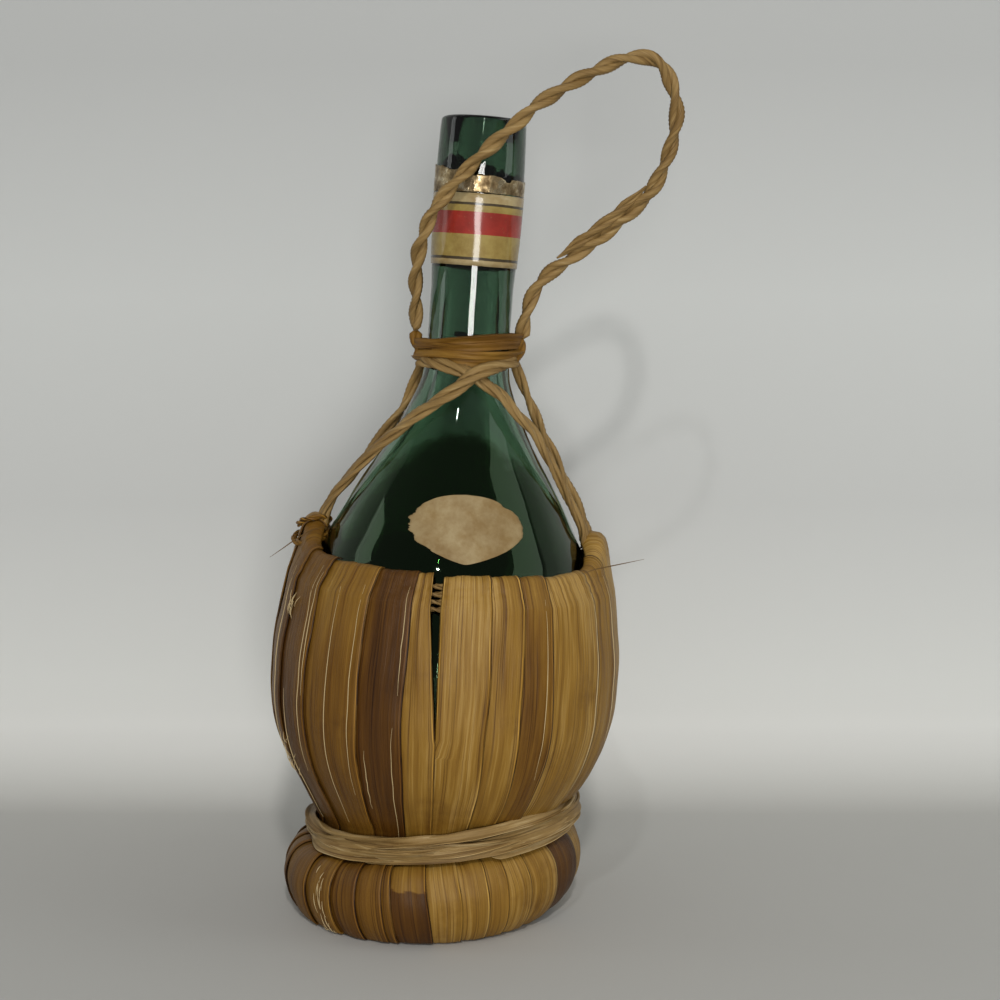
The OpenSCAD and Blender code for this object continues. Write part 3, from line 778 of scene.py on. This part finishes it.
# Basket leaves
# Twenty-two broad dried leaves stand side by side from the waist up the belly, each
# lapped under one neighbour and over the other, then folded inwards over the hoop. Between
# two of them in front, a slit has opened from the rim down.
# where one leaf gives way to the next, in degrees from the front towards the right
leaf_edges = [-67, -50, -28, -13, -2, 13, 24, 35, 57, 72, 90, 107, 124, 142, 158, 175, 192, 208,
              225, 241, 257, 275, 293]
leaf_tones = [0.54, 0.38, 0.66, 0.2, 0.16, 0.2, 0.41, 0.13, 0.2, 0.16, 0.62, 0.28, 0.15, 0.2,
              0.6, 0.14, 0.28, 0.18, 0.62, 0.22, 0.34, 0.5]
leaf_length, leaf_t, leaf_step, leaf_lap, leaf_low, leaf_high = 150, 1, 1.25, 2, 83, 104
leaf_rise = 0.7 * leaf_step
leaf_mid = belly_r + leaf_t / 2 + leaf_rise + 0.1
waist_r, waist_shift, waist_z, waist_tilt = 45.2, 3, 34, radians(4.4)
pinch_half, flare_rise = 5.6, 6
lift_angle = asin((leaf_high - belly_high) / leaf_mid)
hoop_top = hoop_at(hoop_high)
fold_r = strand_r + 0.1 + leaf_rise + leaf_t / 2
hip_at, hip_angle = hoop_at(hoop_low + 1.5), radians(25)
slit_az, slit_foot, slit_top, slit_w, slit_start, slit_slack = -2, 76, 119, 3.4, 6, 1.5
fold_at, fold_reach = 139, 9
leaf_rows, leaf_columns = 160, 16
ear_rise, ear_span = 10.3, 16


def leaf_run(azimuth):
    """The line that a leaf follows at an azimuth, from under the binding, up the belly
    and over the hoop, or over an ear, as even steps of radius and height in mm"""
    r = waist_r + waist_shift * sin(azimuth)
    z = waist_z + waist_r * tan(flask_lean + waist_tilt) * sin(azimuth)
    top = z + pinch_half
    reach = leaf_mid / sqrt(r * r + (top - leaf_low) ** 2)
    flare = max(-asin((leaf_low - z - flare_rise) / leaf_mid),
                atan2(top - leaf_low, r) + acos(min(1, reach)))
    line = [(r, z - 3.4), (r, z + 1), (r + 0.15, top - 2), (r + 0.5, top)]
    line += arc(0, leaf_low, leaf_mid, degrees(flare), 0, 30)
    line += arc(0, belly_high, leaf_mid, 0, degrees(lift_angle), 10)
    line += [(hip_at[0] + (fold_r + 0.1) * cos(hip_angle),
              hip_at[1] + (fold_r + 0.1) * sin(hip_angle))]
    off_ear = degrees(acos(abs(sin(azimuth)))) / ear_span
    rise = ear_rise * exp(-off_ear * off_ear)
    line += arc(hoop_top[0] - 0.16 * rise, hoop_top[1] + 0.86 * rise, fold_r + 0.17 * rise,
                32 - 1.6 * rise, 118 + 4.5 * rise, 16)
    return even_route([Vector((a, 0, b)) for a, b in line], count=leaf_rows)


def leaf_surface(i):
    """Leaf i's surface as a function of its run and its width, and its pitch in degrees"""
    start, end = leaf_edges[i], leaf_edges[i + 1]
    pitch = end - start
    runs = [leaf_run(radians(start - leaf_lap + (pitch + 2 * leaf_lap) * k / leaf_columns))
            for k in range(leaf_columns + 1)]
    rise = 0.35 * noise.noise(Vector((i * 3.7, 1, 0)))

    def place(u, v):
        run = runs[round(v * leaf_columns)]
        k = round(u * leaf_rows)
        point, along = run[k], heading(run, k)
        out = Vector((along.z, 0, -along.x))
        s = u * leaf_length
        left = start - leaf_lap + 0.9 * noise.noise(Vector((s * 0.03, i * 5.1, 0)))
        right = end + leaf_lap + 0.9 * noise.noise(Vector((s * 0.03, i * 5.1 + 50, 0)))
        left_by, right_by = left, right
        # the two leaves at the slit keep clear of it, the more the higher up
        open_by = min(max((point.z - slit_foot) / (slit_top - slit_foot), 0), 1)
        closed_by = max(0, (slit_foot - point.z) / slit_start)
        if end == slit_az and closed_by < 1:
            gap = slit_slack * (1 - open_by) - (slit_w - 0.1) * open_by
            edge = end + degrees(gap / point.x)
            right_by = min(right, max(edge, end - 4) + leaf_lap * closed_by)
        if start == slit_az and closed_by < 1:
            edge = start + degrees((slit_slack * (1 - open_by) + 0.1 * open_by) / point.x)
            left_by = max(left, edge - leaf_lap * closed_by)
        azimuth = radians(left + (right - left) * v + (left_by - left) * (1 - v) ** 2
                          + (right_by - right) * v ** 2)
        across = v * radians(pitch + 2 * leaf_lap) * point.x
        lift = leaf_step * (v - 0.5) + 0.22 * (1 - (2 * v - 1) ** 2)
        lift += 0.2 * noise.noise(Vector((across * 1.1, s * 0.012, i * 9.3)))
        lift += 0.28 * noise.noise(Vector((across * 0.22, s * 0.05, i * 4.9)))
        crumple = 0.4 * noise.noise(Vector((across * 0.5, s * 0.35, i * 2.7))) + rise
        lift += crumple * exp(-((s - fold_at) / fold_reach) ** 2)
        lift -= 0.3 * exp(-s / 4)
        point = point + out * lift
        return round_the_flask(azimuth, point.x, point.z)

    return place, pitch


leaf_finish = fibre_finish("dried_leaf", leaf_shades, rough=0.46, bump=0.55, stains=0.55,
                           contrast=0.66, across=12, painted_edges=True)


def coloured(bm, tone):
    """Gives every point of bm its leaf's tone, from 0, pale, to 1, dark"""
    layer = bm.verts.layers.float.get("tone") or bm.verts.layers.float.new("tone")
    for point in bm.verts:
        point[layer] = tone


# the leaves are paler towards the rim: partly dust, partly a painted sheen where the folds catch
# the light
dust_and_sheen_from, dust_and_sheen_over, most_dust_and_sheen = 0.1, 0.022, 0.11
for i, tone in enumerate(leaf_tones):
    place, pitch = leaf_surface(i)
    bm = bmesh.new()
    lay_grid(bm, leaf_rows, leaf_columns, place, lay=(leaf_length / 10, pitch * 0.105))
    coloured(bm, tone)
    layer = bm.verts.layers.float.new("wear_and_sheen")
    for point in bm.verts:
        point[layer] = most_dust_and_sheen * min(max((point.co.z - dust_and_sheen_from) / dust_and_sheen_over, 0), 1)
    leaf = finish_piece(bm, "leaf_%02d" % (i + 1), leaf_finish, outwards=False)
    thicken(leaf, 0.00055)
    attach(leaf, "root")
    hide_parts("body_leaf_%02d" % (i + 1))

# Waist binding
# Three loose turns of two broad ribbons of pale raffia pull the leaves in over the neck
# of the foot ring.
binding_finish = fibre_finish("binding_raffia", raffia_shades, bump=0.5, stains=0.2,
                              contrast=0.95, base=0.24, along=0.4, across=8, painted_edges=True)
binding_turns, binding_steps, binding_start = 3, 160, 200
binding_pitch, binding_mid = 2.44, 48.8
waist_x = waist_shift + (waist_z - lean_height) * sin(flask_lean)


def tilted(centre, tilt, x, y, z):
    """A point of a tilted ring's own frame, all in mm, as it stands on the table"""
    return Vector((centre[0] + x * cos(tilt) - z * sin(tilt), centre[1] + y,
                   centre[2] + x * sin(tilt) + z * cos(tilt))) * 0.001


def on_binding(k, strand):
    """Step k of a ribbon round the waist; the ribbons cross as they sway"""
    azimuth = radians(binding_start + 180 * strand + 360 * k / binding_steps)
    sway = 3.4 * noise.noise(Vector((k * 0.021, 7 + 4 * strand, 0)))
    out = binding_mid + 1.8 * noise.noise(Vector((k * 0.034, 2 + 3 * strand, 1)))
    return tilted((waist_x, 0, waist_z), waist_tilt, out * sin(azimuth), -out * cos(azimuth),
                  binding_pitch * (k / binding_steps - binding_turns / 2) + sway)


def away_from_waist(point):
    """The direction from the middle of the waist to a point"""
    return (point - Vector((waist_x, 0, waist_z)) * 0.001).normalized()


bm = bmesh.new()
for strand in range(2):
    ribbon = [on_binding(k, strand) for k in range(binding_turns * binding_steps + 1)]
    flat_strand(bm, ribbon, 0.0042, away_from_waist, 71 + 5 * strand, twist=1.1, thick=0.0008,
                curl=0.26)
binding = finish_piece(bm, "waist_raffia", binding_finish)
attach(binding, "root")
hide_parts("waist_binding")

# Foot ring
# A thick ring of twisted straw, squashed lower on the left, with an upstanding neck
# that seats the round glass. It hides under the wraps and shows only from below.
foot_centre, foot_r, foot_mid, foot_low_r = (0.6, 0, 16), 54.8, 44.4, 37
foot_top, foot_low, core_inset, core_inner_r = 13, 20, 2.6, 33.6
seat_section = [(33.5, 18), (33.5, 40.5), (41.5, 42.5), (42.6, 36), (42.6, 20), (33.5, 18)]
core_finish = fibre_finish("ring_straw", leaf_shades, rough=0.75, bump=0.7, contrast=0.7,
                           along=0.5)


def ring_side(angle, inset):
    """The wrapped ring's section at an angle up from its outermost point, less an inset, as
    radius and height in mm"""
    mid, tall = (foot_low_r, foot_low) if angle < 0 else (foot_mid, foot_top)
    return mid + (foot_r - mid - inset) * cos(angle), (tall - inset) * sin(angle)


def on_ring(azimuth, r, z, floor):
    """A point about the ring's own axis, in mm, kept above the table by floor metres"""
    spot = tilted(foot_centre, waist_tilt, r * sin(azimuth), -r * cos(azimuth), z)
    spot.z = max(spot.z, floor)
    return spot


def core_point(u, v):
    """Round the ring and round its lumpy section"""
    azimuth, turn = 2 * pi * u, 2 * pi * v - pi
    r, z = ring_side(-turn, core_inset)
    lump = Vector((12 * cos(azimuth), 12 * sin(azimuth), 5 * turn + 6 * azimuth))
    return on_ring(azimuth, max(r, core_inner_r) - 0.5 * noise.noise(lump), z, 0.0006)


bm = bmesh.new()
lay_grid(bm, 160, 40, core_point, lay=(30, 9), closed=True)
coloured(bm, 0.5)
chain = [bm.verts.new((r, 0, z)) for r, z in seat_section]
rim = [bm.edges.new(pair) for pair in zip(chain, chain[1:])]
bmesh.ops.spin(bm, geom=chain + rim, cent=(0, 0, 0), axis=(0, 0, 1), dvec=(0, 0, 0),
               angle=2 * pi, steps=96, use_merge=True, use_duplicate=False)
# the seat is spun in mm, so its points are the ones that are metres away
for point in bm.verts:
    if point.co.length > 1:
        point.co = leaned(point.co.x + waist_shift * 0.8, point.co.y, point.co.z)
bmesh.ops.remove_doubles(bm, verts=bm.verts, dist=1e-7)
core = finish_piece(bm, "straw_ring", core_finish)
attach(core, "root")
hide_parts("foot_core")

# Foot wraps
# Short leaves are wrapped over the foot ring from under the binding to the floor and
# in beneath it: darker and frayed on the left, paler on the right.
foot_edges = [-77, -54.6, -39.3, -27.6, -17.4, -13.7, 0, 12.1, 22.5, 30.4, 40.4, 55.5, 74]
foot_edges += [74 + 209 * k / 16 for k in range(1, 17)]
dark_wraps, bleached_wrap, bleached_above = (5, 11), 5, 0.0208
wrap_rows, wrap_columns, wrap_length, wrap_step, wrap_lap, wrap_inset = 72, 10, 48, 1.05, 0.9, 0.98
wrap_finish = fibre_finish("wrap_leaf", leaf_shades, rough=0.5, bump=0.55, stains=0.55,
                           contrast=0.62, painted_edges=True)


def wrap_surface(i):
    """Wrap i's surface as a function of its run and its width"""
    start, end = foot_edges[i], foot_edges[i + 1]

    def place(u, v):
        s = u * wrap_length
        left = start - wrap_lap + 0.7 * noise.noise(Vector((s * 0.06, i * 3.3, 0)))
        right = end + wrap_lap + 0.7 * noise.noise(Vector((s * 0.06, i * 3.3 + 40, 0)))
        across = v * (end - start)
        lift = wrap_step * (v - 0.5) + 0.2 * (1 - (2 * v - 1) ** 2)
        lift += 0.22 * noise.noise(Vector((across * 1.1, s * 0.03, i * 6.1)))
        lift += 0.35 * noise.noise(Vector((across * 0.3, s * 0.1, i * 8.3)))
        r, z = ring_side(radians(98 - 186 * u), wrap_inset - lift)
        floor = 0.0005 + 0.0003 * (v + 0.4 * (i % 2))
        return on_ring(radians(left + (right - left) * v), r, z, floor)

    return place


for side, name, wrap_slot in ((-1, "left", "foot_leaf_brown"), (1, "right", "foot_leaf_tan")):
    bm = bmesh.new()
    for layer in ("tone", "wear_and_sheen"):
        bm.verts.layers.float.new(layer)
    own, wear_and_sheen = bm.verts.layers.float["tone"], bm.verts.layers.float["wear_and_sheen"]
    for i, (start, end) in enumerate(zip(foot_edges, foot_edges[1:])):
        if (sin(radians((start + end) / 2)) < 0) != (side < 0):
            continue
        points = lay_grid(bm, wrap_rows, wrap_columns, wrap_surface(i),
                          lay=(6, (end - start) * 0.095))
        if i in dark_wraps:
            tone = 0.66
        elif side < 0:
            tone = 0.43 + 0.16 * noise.noise(Vector((i * 1.7, 0, 0)))
        else:
            tone = 0.12 + 0.04 * (i % 3)
        for point in points:
            upper = point.co.z > bleached_above + 0.0005 * sin(point.co.x * 900)
            point[own], point[wear_and_sheen] = tone, 0.37 if upper and i == bleached_wrap else 0
    wraps = finish_piece(bm, "foot_wraps_" + name, wrap_finish, outwards=False)
    thicken(wraps, 0.0005)
    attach(wraps, "root")
    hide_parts("foot_leaves_" + name)

# Ears
# At each side the rim rises to a peak, where a bundle of leaf ends stands up from the
# fold and the two stays are tied on. On the left, two rings of twisted leaf go round it.
ear_spine = [(53, 111), (54.4, 117), (54, 123.5), (52.6, 129.5), (51.3, 137)]
ear_rows, ring_steps = 30, 48
ear_sides = [(-1, "left", 0.34, [(51.6, 132.6, 6.2, 11.4, 0.12), (51, 137.4, 5.4, 7.2, -0.3)]),
             (1, "right", 0.24, [])]
for side, name, tone, rings in ear_sides:
    spine = even_route([Vector((side * r, 0, z)) for r, z in ear_spine], count=ear_rows)

    def hood_point(u, v):
        k = round(u * ear_rows)
        along = heading(spine, k)
        out = Vector((along.z, 0, -along.x)) * side
        turn = 2 * pi * v
        wide = 9.5 - 6.5 * u ** 1.5 + 0.5 * noise.noise(Vector((u * 4, side, 0)))
        deep = 0.4 + 2.6 * sin(0.9 * pi * u ** 0.8)
        fold = 1 + 0.07 * sin(9 * turn + 2 * u) + 0.16 * noise.noise(
            Vector((4 * cos(turn), 4 * sin(turn), 1.5 * u + 3 * side)))
        spot = spine[k] + out * deep * fold * cos(turn)
        return leaned(spot.x, spot.y + wide * fold * sin(turn), spot.z)

    bm = bmesh.new()
    lay_grid(bm, ear_rows, 96, hood_point, lay=(2.6, 5), closed=True)
    for r, z, deep, wide, tilt in rings:
        ring = []
        for k in range(ring_steps + 1):
            out, aside = deep * cos(2 * pi * k / ring_steps), wide * sin(2 * pi * k / ring_steps)
            ring.append((side * (r + out), aside, z + tilt * aside - 0.25 * out))
        twisted_cord(bm, laid_route(ring), 0.0011, 2, 0.012, 80 + z, tail=0)
    close_ends(bm)
    coloured(bm, tone)
    ear = finish_piece(bm, "leaf_ear_" + name, leaf_finish)
    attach(ear, "root")
    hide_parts("ear_" + name)

# Frayed fibres
# Fibres have split off the old leaves: one long whisker stands out at each ear, and
# pale fibres and tufts stand along leaf edges and over the worn left side of the foot.
fibre_pale = fibre_finish("split_fibre", raffia_shades, rough=0.6, bump=0.2, stains=0.0,
                          contrast=0.4, base=0.02)


def on_leaves(azimuth, share, lift):
    """A point over the body's leaves, a share of the way up the run from the waist"""
    run = leaf_run(radians(azimuth))
    k = min(round(share * leaf_rows), leaf_rows)
    along = heading(run, k)
    point = run[k] + Vector((along.z, 0, -along.x)) * lift
    return round_the_flask(radians(azimuth), point.x, point.z)


def on_wraps(azimuth, angle, lift):
    """A point over the foot's wraps, at an angle up from their outermost point"""
    return on_ring(radians(azimuth), *ring_side(radians(angle), wrap_inset - lift), 0.0008)


def fibre(bm, points, radius):
    """A hair that thins towards both ends"""
    route = smooth_route(points, 0.0008)
    length = length_of(route)
    normal = Vector((0.3, 0.2, 1)).normalized()

    def place(u, v):
        k = round(u * (len(route) - 1))
        along = heading(route, k)
        side = along.cross(normal).normalized()
        up = side.cross(along)
        size = radius * (0.25 + 0.75 * sin(pi * min(max(u, 0.03), 0.97)))
        return route[k] + side * size * cos(2 * pi * v) + up * size * sin(2 * pi * v)

    lay_grid(bm, len(route) - 1, 6, place, lay=(length * 100, 0.2), closed=True)


def jitter(k, j):
    """A fixed number between about -1 and 1 for each k and j"""
    return noise.noise(Vector((k * 1.37 + 0.5, j * 2.71 + 0.3, 0.7)))


# along the leaves' edges: azimuth, and shares of the run from which and to which
split_edges = [
    (-51, 0.3, 0.95), (-49.2, 0.55, 0.93), (-38, 0.12, 0.9), (-29, 0.25, 0.92),
    (-13.8, 0.05, 0.5), (-13, 0.6, 0.93), (34, 0.3, 0.9), (57.5, 0.2, 0.9), (71, 0.35, 0.92),
    (-60, 0.1, 0.55), (-69, 0.3, 0.9), (-23, 0.2, 0.42)]
split_parts = 9
bm = bmesh.new()
for azimuth, low, high in split_edges:
    fibre(bm, [on_leaves(azimuth + 0.45 * jitter(azimuth, j),
                         low + (high - low) * j / split_parts, 1.25)
               for j in range(split_parts + 1)], 0.00016)
for k in range(26):
    if k < 12:
        azimuth, share = -62 + 5 * jitter(k, 1), 0.79 + 0.06 * jitter(k, 2)
    else:
        azimuth, share = -64 + 7 * jitter(k, 1), 0.3 + 0.1 * jitter(k, 2)
    fibre(bm, [on_leaves(azimuth + 2.2 * j * jitter(k, 3), share + 0.012 * j,
                         1.1 + 0.5 * sin(j * 1.2)) for j in range(4)], 0.00014)
for k in range(16):
    azimuth = -44 + 6 * jitter(k, 4)
    start = 50 - 6 * k + 9 * jitter(k, 5)
    fibre(bm, [on_wraps(azimuth + 0.5 * j * jitter(k, 6), start - (5 + k % 4) * j,
                        0.75 + 1.4 * sin(j * 0.95) * abs(jitter(k, 7)))
               for j in range(4)], 0.00016)
coloured(bm, 0.0)
fibres = finish_piece(bm, "pale_fibres", fibre_pale)
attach(fibres, "root")

left_whisker = [(-46, -9, 137), (-50, -12, 136), (-55, -14, 133), (-59.5, -16, 129.5),
                (-64, -18, 126)]
right_whisker = [(45, -33, 130.5), (50, -27, 131.5), (58, -20, 132.6), (67.5, -16, 134.6)]
bm = bmesh.new()
for points, radius in ((left_whisker, 0.00022), (right_whisker, 0.0002)):
    fibre(bm, [leaned(*point) for point in points], radius)
coloured(bm, 0.6)
whiskers = finish_piece(bm, "whiskers", fibre_pale)
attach(whiskers, "root")
